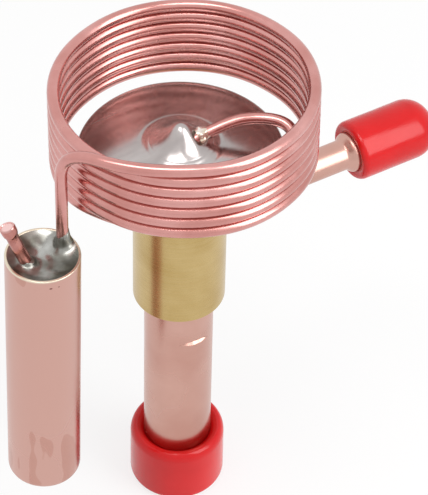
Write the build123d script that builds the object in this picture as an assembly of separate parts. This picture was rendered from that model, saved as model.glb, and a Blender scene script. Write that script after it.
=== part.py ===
from build123d import *

import os
from math import cos, radians, sin, sqrt, tan

os.makedirs("parts", exist_ok=True)

# Thermostatic expansion valve for refrigerant, millimetres.
# The valve axis is Z. Z = 0 is the base of the outlet cap, and the inlet tube runs along +X.
# Azimuths are degrees about the valve axis, counted from the inlet.

# ---- outlet tube and its push-on cap -------------------------------------------------------
OUTLET_PIPE_D = 15.88          # 5/8 inch refrigerant line that is soldered into the outlet
OUTLET_NECK_D = 15.88
OUTLET_NECK_WALL = 0.95
OUTLET_SOCKET_WALL = 0.85
OUTLET_SOCKET_DEPTH = 9.4
OUTLET_FLARE_LENGTH = 1.3
OUTLET_CAP_D = 22.3
OUTLET_CAP_HEIGHT = 12.8
OUTLET_CAP_FLOOR = 1.6
OUTLET_CAP_END_R = 1.5

# ---- inlet tube and its push-on cap --------------------------------------------------------
INLET_PIPE_D = 7.94            # 5/16 inch line
INLET_NECK_D = 7.1
INLET_NECK_WALL = 0.75
INLET_SOCKET_WALL = 0.70
INLET_SOCKET_DEPTH = 18.2
INLET_FLARE_LENGTH = 2.6
INLET_REACH = 65.9             # valve axis to the outside of the inlet cap's end
INLET_CAP_D = 14.0
INLET_CAP_LENGTH = 21.4
INLET_CAP_FLOOR = 1.6
INLET_CAP_END_R = 4.8
INLET_Z = 84.2
SOCKET_EDGE = 0.25             # share of a socket's wall that is chamfered off its mouth
CAP_LIP = 0.42                 # share of a cap's wall that rounds each edge of its lip

# ---- brass body ----------------------------------------------------------------------------
BODY_D = 21.0
BODY_BOTTOM_Z = 62.0
BODY_LENGTH = 35.4             # bottom face to the shoulder that carries the head
SPIGOT_D = 17.0
SPIGOT_HEIGHT = 2.6
OUTLET_JOINT_DEPTH = 4.5       # how far the outlet tube is let into the body
INLET_JOINT_DEPTH = 4.2
CHAMBER_D = 12.0               # spring chamber, tapped for the adjusting nut
INLET_CHAMBER_D = 6.4
INLET_CHAMBER_TOP_Z = 87.6
SEAT_D = 8.0
SEAT_THICKNESS = 3.5
SEAT_DROP = 3.2                # inlet axis to the top of the pressed-in seat
SEAL_POCKET_D = 5.6
SEAL_POCKET_DEPTH = 3.6
PAD_RECESS_D = 14.4
PAD_RECESS_DEPTH = 1.8

# ---- working parts -------------------------------------------------------------------------
ORIFICE_D = 3.0
BALL_D = 4.4
ROD_D = 2.0
CARRIER_D = 9.2
CARRIER_FLANGE = 0.8
CARRIER_STEM_D = 5.2
CARRIER_STEM_LENGTH = 3.0
SPRING_D = 8.4
SPRING_WIRE_D = 0.8
SPRING_TURNS = 4
NUT_HEIGHT = 2.8
NUT_KEY_ACROSS = 4.0
NUT_NOTCHES = 4
NUT_NOTCH_D = 2.4
SEAL_SECTION_D = 1.6
RETAINER_THICKNESS = 0.8
PAD_D = 13.4
PAD_THICKNESS = 1.6
PAD_HUB_D = 6.0
PAD_HUB_HEIGHT = 1.4
BALL_NEST = 0.35               # share of the ball's radius that the carrier reaches past its middle
STRAINER_LENGTH = 15.0
STRAINER_WALL = 0.30
STRAINER_FLANGE = 1.0
STRAINER_TIP_D = 2.4
STRAINER_STEP = 0.5            # flange to the root of the gauze

# ---- power head ----------------------------------------------------------------------------
HEAD_D = 45.7
HEAD_HEIGHT = 7.7              # shoulder of the body to the top of the rim
HEAD_SHEET = 1.2
HEAD_RIM_WIDTH = 4.6
DIAPHRAGM_THICKNESS = 0.2
DIAPHRAGM_WAVES = 2
DIAPHRAGM_WAVE_HEIGHT = 0.35
DIAPHRAGM_MARGIN = 0.6         # flat left at each side of the waves
DISH_SLOPE = 0.75              # run over rise of the lower case's wall
DISH_SLANT = 0.55              # share of the sheet that the slant sets its inside back
CROWN_RISE = 2.8               # rim top to the foot of the boss
BOSS_D = 15.1
BOSS_STEP = 0.7
BOSS_HEIGHT = 5.3
BOSS_TIP_R = 1.6
BOSS_SHOULDER = 0.4
FLANK_R = 0.52                 # middle of the hollow flank, share of the boss's radius
FLANK_RISE = 0.36              # and share of the peak's height
PEAK_EXTRA = 0.2               # extra metal under the tip
GROOVE_D = 17.6                # shallow ring pressed round the boss
GROOVE_R = 0.35
CROWN_EDGE_R = 0.54
SHOULDER_EDGE_R = 0.3

# ---- capillary coil ------------------------------------------------------------------------
CAPILLARY_D = 2.7
COIL_R = 28.0
COIL_PITCH = 2.87
COIL_OVER_RIM = 20.0           # rim to the centre of the top turn, where the lead joins it
COIL_LEAN = 1.9                # degrees
COIL_LEAN_AZ = -109.4          # side of the coil that stands highest
COIL_SHIFT_X = 0.5
COIL_SHIFT_Y = -0.3
COIL_START_AZ = -138.3
COIL_TOTAL_TURN = 2475.0       # degrees wound between the lead and the tail
COIL_STEP = 45.0
LEAD_DROP = 0.8
TAIL_INSIDE_GAP = 0.3          # tail to the inside of the coil
TAIL_BENDS = (                 # degrees past the coil's end, step out from the inside, rise
    (33, 1.3, 0.0),
    (66, 0.8, 0.7),
    (98, 0.7, 2.6),
    (128, 0.3, 4.3),
    (148, -0.6, 5.6),
)
ENTRY_BENDS = (                # radius, azimuth, rise over the boss's foot
    (23.1, -26.0, 4.6),
    (17.6, -19.8, 4.7),
    (10.6, -19.0, 4.6),
)
ENTRY_R = 2.9                  # the capillary's end inside the boss
ENTRY_AZ = -56.0
ENTRY_RISE = 1.7
UNEVEN_TRIM = 0.46             # share of the shorter run that a bend takes
COLLAR_START = 1.2             # braze collar, from the capillary's end
COLLAR_WALL = 0.9
COLLAR_LENGTH = 3.4
COLLAR_TAPER = 10

# ---- sensing bulb --------------------------------------------------------------------------
BULB_D = 16.5
BULB_LENGTH = 68.0
BULB_WALL = 0.6
BULB_CORNER_R = 1.6
BULB_AXIS_R = 38.3             # valve axis to bulb axis
BULB_AZ = -170.0
BULB_UNDER_RIM = 7.4           # rim to the bulb's open end
BULB_TURN = -31.3
BULB_LEAN = 1.0
LEAD_IN_BULB = (4.1, 4.1)      # lead's place from the bulb's axis, before the bulb's turn
FILL_IN_BULB = (-3.3, -1.5)
FILL_TUBE_D = 2.8
FILL_TUBE_LENGTH = 11.4
FILL_TUBE_LEAN = 21.0
FILL_PINCH_LENGTH = 1.8
FILL_PINCH_WIDE = 1.28         # pinched section over the round one, its two ways
FILL_PINCH_NARROW = 1.1
FILL_PINCH_START = 0.35
FILL_ROOT = 1.6                # stub's end below the dish
SOLDER_DEPTH = 4.6
SOLDER_DISH = 1.3
SOLDER_EDGE_DROP = 0.12
SOLDER_CLIMB = 3.4             # height that solder has crept up the lead
CREEP_WALL = 0.85
CREEP_START = 1.5
CREEP_TAPER = 6
LEAD_ROOT = 0.8                # lead's end above the plug's underside

# ---- clearances ----------------------------------------------------------------------------
PIPE_CLEARANCE = 0.05          # radial, pipe in its socket
CAP_CLEARANCE = 0.08           # radial, cap on its socket
BRAZE_GAP = 0.05               # radial, brazed joints
ROD_CLEARANCE = 0.05
SEAT_CLEARANCE = 0.02
THREAD_CLEARANCE = 0.05
BALL_GAP = 0.02
EDGE_BREAK = 0.3
BRAZE_LEG = 0.9
NUT_GAP = 0.3                  # outlet tube's end to the nut
PAD_GAP = 0.05                 # thrust pad to the diaphragm

# ---- places worked out from the sizes above ------------------------------------------------
BODY_R = BODY_D / 2
HEAD_R = HEAD_D / 2
WIRE_R = CAPILLARY_D / 2
SHOULDER_Z = BODY_BOTTOM_Z + BODY_LENGTH
BODY_TOP_Z = SHOULDER_Z + SPIGOT_HEIGHT
HEAD_RIM_TOP_Z = SHOULDER_Z + HEAD_HEIGHT
COIL_TOP_Z = HEAD_RIM_TOP_Z + COIL_OVER_RIM
BULB_TOP_Z = HEAD_RIM_TOP_Z - BULB_UNDER_RIM
TUBE_TOP_Z = BODY_BOTTOM_Z + OUTLET_JOINT_DEPTH
SEAT_TOP_Z = INLET_Z - SEAT_DROP
SEAT_FACE_Z = SEAT_TOP_Z - SEAT_THICKNESS
NUT_Z = TUBE_TOP_Z + NUT_GAP
NUT_TOP_Z = NUT_Z + NUT_HEIGHT
BALL_R = BALL_D / 2
ORIFICE_R = ORIFICE_D / 2
BALL_Z = SEAT_FACE_Z - sqrt((BALL_R + BALL_GAP) ** 2 - ORIFICE_R ** 2)
CARRIER_TOP_Z = BALL_Z + BALL_NEST * BALL_R
FLANGE_UNDER_Z = CARRIER_TOP_Z - CARRIER_FLANGE
UPPER_FLANGE_Z = HEAD_RIM_TOP_Z - HEAD_SHEET
DIAPHRAGM_Z = UPPER_FLANGE_Z - DIAPHRAGM_THICKNESS
LOWER_FLANGE_Z = DIAPHRAGM_Z - HEAD_SHEET
PAD_TOP_Z = DIAPHRAGM_Z - PAD_GAP
PAD_Z = PAD_TOP_Z - PAD_THICKNESS
BOSS_FOOT_Z = HEAD_RIM_TOP_Z + CROWN_RISE
BOSS_TOP_Z = BOSS_FOOT_Z + BOSS_HEIGHT
OUTLET_SOCKET_R = OUTLET_PIPE_D / 2 + PIPE_CLEARANCE
INLET_SOCKET_R = INLET_PIPE_D / 2 + PIPE_CLEARANCE
INLET_TUBE_END_X = INLET_REACH - INLET_CAP_FLOOR
INLET_TUBE_START_X = BODY_R - INLET_JOINT_DEPTH
ON_FLOOR = (Align.CENTER, Align.CENTER, Align.MIN)


def polar(radius, azimuth, z):
    """Point at a radius and azimuth about the valve axis."""
    return Vector(radius * cos(radians(azimuth)), radius * sin(radians(azimuth)), z)


def turned(profile_points):
    """Solid of revolution about Z from (radius, z) corners."""
    with BuildPart() as made:
        with BuildSketch(Plane.XZ):
            with BuildLine():
                Polyline(*profile_points, close=True)
            make_face()
        revolve(axis=Axis.Z)
    return made.part


def post(radius, low_z, high_z):
    """Upright cylinder on the valve axis."""
    return Pos(0, 0, low_z) * Cylinder(radius, high_z - low_z, align=ON_FLOOR)


def along_x(part):
    """Turn a part made about Z so that its axis is the inlet's."""
    return Pos(0, 0, INLET_Z) * Rot(0, 90, 0) * part


def rod_between(start, end, radius):
    """Cylinder from one point to another."""
    plane = Plane(origin=start, z_dir=(end - start).normalized())
    return extrude(plane * Circle(radius), amount=(end - start).length)


def edges_at(part, z, radius):
    """Round edges of a turned part at one height and radius."""
    return [
        edge
        for edge in part.edges().filter_by(GeomType.CIRCLE)
        if abs(edge.arc_center.Z - z) < 1e-3 and abs(edge.radius - radius) < 1e-3
    ]


# ---- tubes ---------------------------------------------------------------------------------
def socket_tube(neck_r, neck_wall, socket_r, socket_wall, socket_depth, flare, length):
    """Copper tube about Z with its expanded socket at Z = 0."""
    outer_r = socket_r + socket_wall
    flare_z = socket_depth + flare
    tube = turned([
        (socket_r, 0),
        (outer_r, 0),
        (outer_r, socket_depth),
        (neck_r, flare_z),
        (neck_r, length),
        (neck_r - neck_wall, length),
        (neck_r - neck_wall, flare_z),
        (socket_r, socket_depth),
    ])
    return chamfer(edges_at(tube, 0, socket_r) + edges_at(tube, 0, outer_r), socket_wall * SOCKET_EDGE)


def make_outlet_tube():
    tube = socket_tube(
        OUTLET_NECK_D / 2, OUTLET_NECK_WALL, OUTLET_SOCKET_R, OUTLET_SOCKET_WALL,
        OUTLET_SOCKET_DEPTH, OUTLET_FLARE_LENGTH, TUBE_TOP_Z - OUTLET_CAP_FLOOR,
    )
    return Pos(0, 0, OUTLET_CAP_FLOOR) * tube


def make_inlet_tube():
    length = INLET_TUBE_END_X - INLET_TUBE_START_X
    tube = socket_tube(
        INLET_NECK_D / 2, INLET_NECK_WALL, INLET_SOCKET_R, INLET_SOCKET_WALL,
        INLET_SOCKET_DEPTH, INLET_FLARE_LENGTH, length,
    )
    return Pos(INLET_TUBE_END_X, 0, INLET_Z) * Rot(0, -90, 0) * tube


def make_inlet_strainer():
    """Thimble of fine gauze, its flange held at the neck end of the inlet socket."""
    flange_r = INLET_NECK_D / 2 - INLET_NECK_WALL - BRAZE_GAP
    root_r = flange_r - STRAINER_STEP
    tip_r = STRAINER_TIP_D / 2
    flange_x = INLET_TUBE_END_X - INLET_SOCKET_DEPTH - INLET_FLARE_LENGTH - STRAINER_FLANGE
    thimble = turned([
        (root_r - STRAINER_WALL, 0),
        (flange_r, 0),
        (flange_r, STRAINER_FLANGE),
        (root_r, STRAINER_FLANGE),
        (tip_r, STRAINER_LENGTH),
        (0, STRAINER_LENGTH),
        (0, STRAINER_LENGTH - STRAINER_WALL),
        (tip_r - STRAINER_WALL, STRAINER_LENGTH - STRAINER_WALL),
    ])
    return Pos(flange_x + STRAINER_FLANGE, 0, INLET_Z) * Rot(0, -90, 0) * thimble


# ---- caps ----------------------------------------------------------------------------------
def push_on_cap(outer_r, inner_r, height, floor, end_radius):
    """Moulded cap about Z, closed end at Z = 0, with a rounded lip."""
    shell = turned([
        (0, 0),
        (outer_r, 0),
        (outer_r, height),
        (inner_r, height),
        (inner_r, floor),
        (0, floor),
    ])
    lip = (outer_r - inner_r) * CAP_LIP
    shell = fillet(edges_at(shell, height, outer_r) + edges_at(shell, height, inner_r), lip)
    shell = fillet(edges_at(shell, 0, outer_r), end_radius)
    return shell


def make_outlet_cap():
    inner_r = OUTLET_SOCKET_R + OUTLET_SOCKET_WALL + CAP_CLEARANCE
    return push_on_cap(OUTLET_CAP_D / 2, inner_r, OUTLET_CAP_HEIGHT, OUTLET_CAP_FLOOR, OUTLET_CAP_END_R)


def make_inlet_cap():
    inner_r = INLET_SOCKET_R + INLET_SOCKET_WALL + CAP_CLEARANCE
    cap = push_on_cap(INLET_CAP_D / 2, inner_r, INLET_CAP_LENGTH, INLET_CAP_FLOOR, INLET_CAP_END_R)
    return Pos(INLET_REACH, 0, INLET_Z) * Rot(0, -90, 0) * cap


# ---- body ----------------------------------------------------------------------------------
def make_valve_body():
    """Turned brass bar with a stepped bore and the side hole for the inlet tube."""
    body = post(BODY_R, BODY_BOTTOM_Z, SHOULDER_Z) + post(SPIGOT_D / 2, SHOULDER_Z, BODY_TOP_Z)
    body -= post(OUTLET_NECK_D / 2 + BRAZE_GAP, BODY_BOTTOM_Z - 1, TUBE_TOP_Z)
    body -= post(CHAMBER_D / 2, TUBE_TOP_Z - 1, SEAT_FACE_Z)
    body -= post(SEAT_D / 2, SEAT_FACE_Z - 1, SEAT_TOP_Z)
    body -= post(INLET_CHAMBER_D / 2, SEAT_TOP_Z - 1, INLET_CHAMBER_TOP_Z)
    body -= post(ROD_D / 2 + ROD_CLEARANCE, INLET_CHAMBER_TOP_Z - 1, BODY_TOP_Z)
    pocket_z = BODY_TOP_Z - PAD_RECESS_DEPTH - SEAL_POCKET_DEPTH
    body -= post(SEAL_POCKET_D / 2, pocket_z, BODY_TOP_Z)
    body -= post(PAD_RECESS_D / 2, BODY_TOP_Z - PAD_RECESS_DEPTH, BODY_TOP_Z + 1)
    port_r = INLET_NECK_D / 2 - INLET_NECK_WALL
    body -= along_x(Cylinder(port_r, BODY_R, align=ON_FLOOR))
    counterbore = Cylinder(INLET_NECK_D / 2 + BRAZE_GAP, BODY_R, align=ON_FLOOR)
    body -= Pos(INLET_TUBE_START_X, 0, 0) * along_x(counterbore)
    mouth = OUTLET_NECK_D / 2 + BRAZE_GAP
    return chamfer(edges_at(body, BODY_BOTTOM_Z, mouth), BRAZE_LEG)


def make_outlet_braze():
    """Alloy that fills the chamfer between the body and the outlet tube."""
    inner_r = OUTLET_NECK_D / 2
    return turned([
        (inner_r, BODY_BOTTOM_Z),
        (inner_r + BRAZE_GAP + BRAZE_LEG, BODY_BOTTOM_Z),
        (inner_r, BODY_BOTTOM_Z + BRAZE_LEG + BRAZE_GAP),
    ])


def make_inlet_braze():
    """Fillet of alloy round the inlet tube where it leaves the body."""
    inner_r = INLET_NECK_D / 2
    fillet_r = inner_r + 2 * BRAZE_LEG
    reach = BODY_R + BRAZE_LEG
    collar = turned([
        (inner_r, BODY_R - 2 * BRAZE_LEG),
        (fillet_r, BODY_R - 2 * BRAZE_LEG),
        (inner_r + BRAZE_LEG, BODY_R),
        (inner_r, reach),
    ])
    return along_x(collar) - post(BODY_R, BODY_BOTTOM_Z, SHOULDER_Z)


# ---- working parts inside the body ---------------------------------------------------------
def make_orifice_seat():
    seat = post(SEAT_D / 2 - SEAT_CLEARANCE, SEAT_FACE_Z, SEAT_TOP_Z)
    return seat - post(ORIFICE_R, SEAT_FACE_Z - 1, SEAT_TOP_Z + 1)


def make_valve_ball():
    return Pos(0, 0, BALL_Z) * Sphere(BALL_R)


def make_ball_carrier():
    """Flanged cup that holds the ball and centres the spring."""
    stem_z = FLANGE_UNDER_Z - CARRIER_STEM_LENGTH
    carrier = post(CARRIER_D / 2, FLANGE_UNDER_Z, CARRIER_TOP_Z)
    carrier += post(CARRIER_STEM_D / 2, stem_z, FLANGE_UNDER_Z)
    return carrier - Pos(0, 0, BALL_Z) * Sphere(BALL_R + BALL_GAP)


def make_valve_spring():
    """Closed-end compression spring drawn as a helix of straight runs and arcs."""
    wire_r = SPRING_WIRE_D / 2
    mean_r = SPRING_D / 2 - wire_r
    low_z = NUT_TOP_Z + wire_r + BALL_GAP
    high_z = FLANGE_UNDER_Z - wire_r - BALL_GAP
    step_angle = 60
    steps = SPRING_TURNS * 360 // step_angle
    rise = (high_z - low_z) / steps
    vertex_r = mean_r / cos(radians(step_angle / 2))
    points = [polar(vertex_r, step_angle * step, low_z + rise * step) for step in range(steps + 1)]
    return swept_tube(points, wire_r)


def make_adjusting_nut():
    """Threaded ring with a key hole and notches that let the refrigerant past."""
    radius = CHAMBER_D / 2 - THREAD_CLEARANCE
    nut = post(radius, NUT_Z, NUT_TOP_Z)
    key = Pos(0, 0, NUT_Z) * extrude(RegularPolygon(NUT_KEY_ACROSS / 2, 6, major_radius=False), NUT_HEIGHT)
    nut -= key
    for index in range(NUT_NOTCHES):
        place = polar(radius, index * 360 / NUT_NOTCHES, 0)
        nut -= Pos(place.X, place.Y, 0) * post(NUT_NOTCH_D / 2, NUT_Z, NUT_TOP_Z)
    return nut


def make_push_rod():
    ball_top_z = BALL_Z + BALL_R
    rod = post(ROD_D / 2, ball_top_z + BALL_GAP, PAD_Z)
    return chamfer(edges_at(rod, ball_top_z + BALL_GAP, ROD_D / 2), EDGE_BREAK)


def make_rod_seal():
    """Ring seal round the push rod, in its pocket under the retainer."""
    pocket_z = BODY_TOP_Z - PAD_RECESS_DEPTH - SEAL_POCKET_DEPTH
    section_r = SEAL_SECTION_D / 2
    ring_r = ROD_D / 2 + ROD_CLEARANCE + section_r
    return Pos(0, 0, pocket_z + section_r) * Torus(ring_r, section_r)


def make_seal_retainer():
    pocket_z = BODY_TOP_Z - PAD_RECESS_DEPTH - SEAL_POCKET_DEPTH
    low_z = pocket_z + SEAL_SECTION_D
    washer = post(SEAL_POCKET_D / 2 - SEAT_CLEARANCE, low_z, low_z + RETAINER_THICKNESS)
    return washer - post(ROD_D / 2 + 2 * ROD_CLEARANCE, low_z - 1, low_z + 2)


def make_thrust_pad():
    """Plate under the diaphragm, with the hub that the push rod is let into."""
    pad = post(PAD_D / 2, PAD_Z, PAD_TOP_Z) + post(PAD_HUB_D / 2, PAD_Z - PAD_HUB_HEIGHT, PAD_Z)
    return pad - post(ROD_D / 2, PAD_Z - PAD_HUB_HEIGHT, PAD_Z)


# ---- power head ----------------------------------------------------------------------------
def make_head_lower_case():
    """Pressed dish that sits on the body's shoulder and carries the rim."""
    hole_r = SPIGOT_D / 2 + BRAZE_GAP
    rim_in_r = HEAD_R - HEAD_RIM_WIDTH
    foot_r = rim_in_r - (LOWER_FLANGE_Z - SHOULDER_Z) * DISH_SLOPE
    slant = HEAD_SHEET * DISH_SLANT
    dish = turned([
        (hole_r, SHOULDER_Z),
        (foot_r, SHOULDER_Z),
        (rim_in_r, LOWER_FLANGE_Z),
        (HEAD_R, LOWER_FLANGE_Z),
        (HEAD_R, DIAPHRAGM_Z),
        (rim_in_r - slant, DIAPHRAGM_Z),
        (foot_r - slant, SHOULDER_Z + HEAD_SHEET),
        (hole_r, SHOULDER_Z + HEAD_SHEET),
    ])
    rounded = edges_at(dish, SHOULDER_Z, foot_r) + edges_at(dish, LOWER_FLANGE_Z, rim_in_r)
    return fillet(rounded, HEAD_SHEET)


def crown_z(radius):
    """Height of the crown's cone at a radius."""
    return HEAD_RIM_TOP_Z + CROWN_RISE * (HEAD_R - radius) / (HEAD_R - BOSS_D / 2)


def make_head_upper_case():
    """Pressed crown: flat rim, shallow cone with a ring groove, stepped boss with a hollow-ground peak."""
    rim_in_r = HEAD_R - HEAD_RIM_WIDTH
    boss_r = BOSS_D / 2
    inner_boss_r = boss_r - HEAD_SHEET
    groove_r = GROOVE_D / 2
    groove_out = (groove_r + GROOVE_R, crown_z(groove_r + GROOVE_R))
    groove_low = (groove_r, crown_z(groove_r) - GROOVE_R * 0.7)
    groove_in = (groove_r - GROOVE_R, crown_z(groove_r - GROOVE_R))
    rim_edge = (HEAD_R, HEAD_RIM_TOP_Z)
    boss_foot = (boss_r, BOSS_FOOT_Z)
    boss_step = (boss_r - BOSS_SHOULDER, BOSS_FOOT_Z + BOSS_STEP)
    flank = (boss_r * FLANK_R, BOSS_FOOT_Z + BOSS_STEP + FLANK_RISE * (BOSS_HEIGHT - BOSS_STEP))
    peak = (0, BOSS_TOP_Z)
    peak_round = (BOSS_TIP_R * sin(radians(30)), BOSS_TOP_Z - BOSS_TIP_R * (1 - cos(radians(30))))
    peak_side = (BOSS_TIP_R * sin(radians(60)), BOSS_TOP_Z - BOSS_TIP_R * (1 - cos(radians(60))))
    hollow_peak = (0, BOSS_TOP_Z - HEAD_SHEET - PEAK_EXTRA)
    hollow_foot = (inner_boss_r, BOSS_FOOT_Z - HEAD_SHEET)
    rim_inside = (rim_in_r, UPPER_FLANGE_Z)
    rim_under = (HEAD_R, UPPER_FLANGE_Z)
    with BuildPart() as case:
        with BuildSketch(Plane.XZ):
            with BuildLine():
                Polyline(rim_under, rim_edge, groove_out)
                ThreePointArc(groove_out, groove_low, groove_in)
                Polyline(groove_in, boss_foot, boss_step)
                ThreePointArc(boss_step, flank, peak_side)
                ThreePointArc(peak_side, peak_round, peak)
                Polyline(peak, hollow_peak, hollow_foot, rim_inside, rim_under)
            make_face()
        revolve(axis=Axis.Z)
    crown = fillet(edges_at(case.part, HEAD_RIM_TOP_Z, HEAD_R), CROWN_EDGE_R)
    crown = fillet(edges_at(crown, boss_step[1], boss_step[0]), SHOULDER_EDGE_R)
    points = capillary_points()
    return crown - rod_between(points[-1], points[-2], WIRE_R + BRAZE_GAP)


def make_diaphragm():
    """Thin corrugated disc clamped between the two cases."""
    rim_in_r = HEAD_R - HEAD_RIM_WIDTH
    flat_r = PAD_D / 2 + DIAPHRAGM_MARGIN
    wave = (rim_in_r - DIAPHRAGM_MARGIN - flat_r) / DIAPHRAGM_WAVES
    under = [(0, 0), (flat_r, 0)]
    for index in range(DIAPHRAGM_WAVES):
        start = flat_r + index * wave
        under.append((start + 0.3 * wave, DIAPHRAGM_WAVE_HEIGHT))
        under.append((start + 0.7 * wave, DIAPHRAGM_WAVE_HEIGHT))
        under.append((start + wave, 0))
    under.append((HEAD_R - HEAD_SHEET * 0.5, 0))
    over = [(r, z + DIAPHRAGM_THICKNESS) for r, z in reversed(under)]
    return Pos(0, 0, DIAPHRAGM_Z) * turned(under + over)


# ---- capillary -----------------------------------------------------------------------------
def coil_place():
    """Frame of the wound coil: its top turn's centre, leaned towards one side."""
    middle_z = COIL_TOP_Z - COIL_PITCH * COIL_TOTAL_TURN / 720
    lean = Rot(0, 0, COIL_LEAN_AZ) * Rot(0, -COIL_LEAN, 0) * Rot(0, 0, -COIL_LEAN_AZ)
    return Pos(COIL_SHIFT_X, COIL_SHIFT_Y, middle_z) * lean * Pos(0, 0, COIL_TOP_Z - middle_z)


def coil_point(radius, azimuth, wound):
    """Point of the coil at an azimuth, after so many degrees of winding."""
    place = coil_place() * Pos(polar(radius, azimuth, -COIL_PITCH * wound / 360))
    return place.position


def bulb_place():
    """Frame at the middle of the bulb's open end."""
    top = polar(BULB_AXIS_R, BULB_AZ, BULB_TOP_Z)
    return Pos(top.X, top.Y, top.Z) * Rot(0, 0, BULB_TURN) * Rot(0, BULB_LEAN, 0)


def lead_foot():
    """Lower end of the capillary, inside the solder of the bulb."""
    place = bulb_place() * Pos(LEAD_IN_BULB[0], LEAD_IN_BULB[1], -SOLDER_DEPTH + LEAD_ROOT)
    return place.position


def capillary_points():
    """Corners of the capillary's path: lead, coil, tail inside the coil, entry into the boss."""
    vertex_r = COIL_R / cos(radians(COIL_STEP / 2))
    count = round(COIL_TOTAL_TURN / COIL_STEP)
    foot = lead_foot()
    first = coil_point(vertex_r, COIL_START_AZ, 0)
    points = [foot, Vector(foot.X, foot.Y, first.Z - LEAD_DROP)]
    for step in range(count + 1):
        wound = step * COIL_STEP
        points.append(coil_point(vertex_r, COIL_START_AZ + wound, wound))
    end_az = COIL_START_AZ + COIL_TOTAL_TURN
    inside = COIL_R - CAPILLARY_D - TAIL_INSIDE_GAP
    for turn, out, rise in TAIL_BENDS:
        point = coil_point(inside + out, end_az + turn, COIL_TOTAL_TURN)
        points.append(point + Vector(0, 0, rise))
    for radius, azimuth, rise in ENTRY_BENDS:
        points.append(polar(radius, azimuth, BOSS_FOOT_Z + rise))
    points.append(polar(ENTRY_R, ENTRY_AZ, BOSS_FOOT_Z + ENTRY_RISE))
    return points


def bend_trim(run_in, run_out):
    """Length that a bend takes from each of its two runs."""
    shorter = min(run_in.length, run_out.length)
    even = abs(run_in.length - run_out.length) < 1e-6
    return shorter * (0.5 if even else UNEVEN_TRIM)


def bent_path(points):
    """Straight runs joined by tangent arcs. Where runs are equal, arc meets arc."""
    edges = []
    reached = points[0]
    for before, corner, after in zip(points, points[1:], points[2:]):
        run_in = corner - before
        run_out = after - corner
        trim = bend_trim(run_in, run_out)
        start = corner - run_in.normalized() * trim
        end = corner + run_out.normalized() * trim
        half_turn = radians(run_in.get_angle(run_out)) / 2
        bend_r = trim / tan(half_turn)
        inward = ((start + end) * 0.5 - corner).normalized()
        crown = corner + inward * (bend_r / cos(half_turn) - bend_r)
        if (start - reached).length > 1e-3:
            edges.append(Edge.make_line(reached, start))
        edges.append(Edge.make_three_point_arc(start, crown, end))
        reached = end
    edges.append(Edge.make_line(reached, points[-1]))
    return Wire(edges)


def bend_radii(points):
    """Radius of each bend of a path."""
    radii = []
    for before, corner, after in zip(points, points[1:], points[2:]):
        run_in = corner - before
        run_out = after - corner
        radii.append(bend_trim(run_in, run_out) / tan(radians(run_in.get_angle(run_out)) / 2))
    return radii


def swept_tube(points, radius):
    """Round bar along a bent path."""
    path = bent_path(points)
    section = Plane(origin=points[0], z_dir=(points[1] - points[0]).normalized()) * Circle(radius)
    return sweep(section, path=path)


def make_capillary_tube():
    return swept_tube(capillary_points(), WIRE_R)


def make_capillary_braze():
    """Small collar of silver alloy where the capillary enters the boss."""
    points = capillary_points()
    inner, outer = points[-1], points[-2]
    way = (outer - inner).normalized()
    start = inner + way * COLLAR_START
    ring = Plane(origin=start, z_dir=way) * Circle(WIRE_R + COLLAR_WALL)
    collar = extrude(ring, amount=COLLAR_LENGTH, taper=COLLAR_TAPER)
    collar -= rod_between(inner, outer, WIRE_R)
    kept = collar - (make_head_upper_case() + post(BOSS_D / 2 - 2, UPPER_FLANGE_Z, BOSS_FOOT_Z + 0.9))
    return max(kept.solids(), key=lambda solid: solid.volume)


# ---- sensing bulb --------------------------------------------------------------------------
def make_sensing_bulb():
    """Deep-drawn copper cup, open end up."""
    radius = BULB_D / 2
    cup = post(radius, -BULB_LENGTH, 0)
    cup = fillet(edges_at(cup, -BULB_LENGTH, radius), BULB_CORNER_R)
    cup -= post(radius - BULB_WALL, BULB_WALL - BULB_LENGTH, 1)
    return bulb_place() * cup


def lead_bore(radius):
    """Cylinder on the line of the lead through the bulb's end."""
    foot = lead_foot()
    return rod_between(foot, foot + Vector(0, 0, SOLDER_DEPTH + SOLDER_CLIMB + 2), radius)


def fill_place():
    root = Pos(FILL_IN_BULB[0], FILL_IN_BULB[1], -SOLDER_DISH - FILL_ROOT)
    return bulb_place() * root * Rot(0, -FILL_TUBE_LEAN, 0)


def make_bulb_end_solder():
    """Dished plug of silver alloy that closes the bulb and has crept up the lead."""
    radius = BULB_D / 2 - BULB_WALL
    plug = post(radius, -SOLDER_DEPTH, -SOLDER_EDGE_DROP)
    sphere_r = (radius ** 2 + SOLDER_DISH ** 2) / (2 * SOLDER_DISH)
    plug -= Pos(0, 0, sphere_r - SOLDER_EDGE_DROP - SOLDER_DISH) * Sphere(sphere_r)
    plug = bulb_place() * plug
    creep_base = Plane(origin=lead_foot() + Vector(0, 0, CREEP_START), z_dir=(0, 0, 1))
    creep_height = SOLDER_DEPTH - LEAD_ROOT - CREEP_START + SOLDER_CLIMB
    creep = extrude(creep_base * Circle(WIRE_R + CREEP_WALL), amount=creep_height, taper=CREEP_TAPER)
    plug += creep & (bulb_place() * post(radius, -SOLDER_DEPTH, SOLDER_CLIMB + 1))
    plug -= lead_bore(WIRE_R)
    return plug - fill_place() * post(FILL_TUBE_D / 2, 0, 12)


def make_bulb_fill_tube():
    """Charging stub, pinched oval and cut off at its end."""
    radius = FILL_TUBE_D / 2
    stub = post(radius, 0, FILL_TUBE_LENGTH)
    pinch_z = FILL_TUBE_LENGTH
    oval = Ellipse(radius * FILL_PINCH_WIDE, radius * FILL_PINCH_NARROW)
    lower = Pos(0, 0, pinch_z) * Circle(radius)
    middle = Pos(0, 0, pinch_z + FILL_PINCH_START * FILL_PINCH_LENGTH) * oval
    upper = Pos(0, 0, pinch_z + FILL_PINCH_LENGTH) * oval
    stub += loft([lower, middle]) + loft([middle, upper])
    return fill_place() * stub


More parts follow.
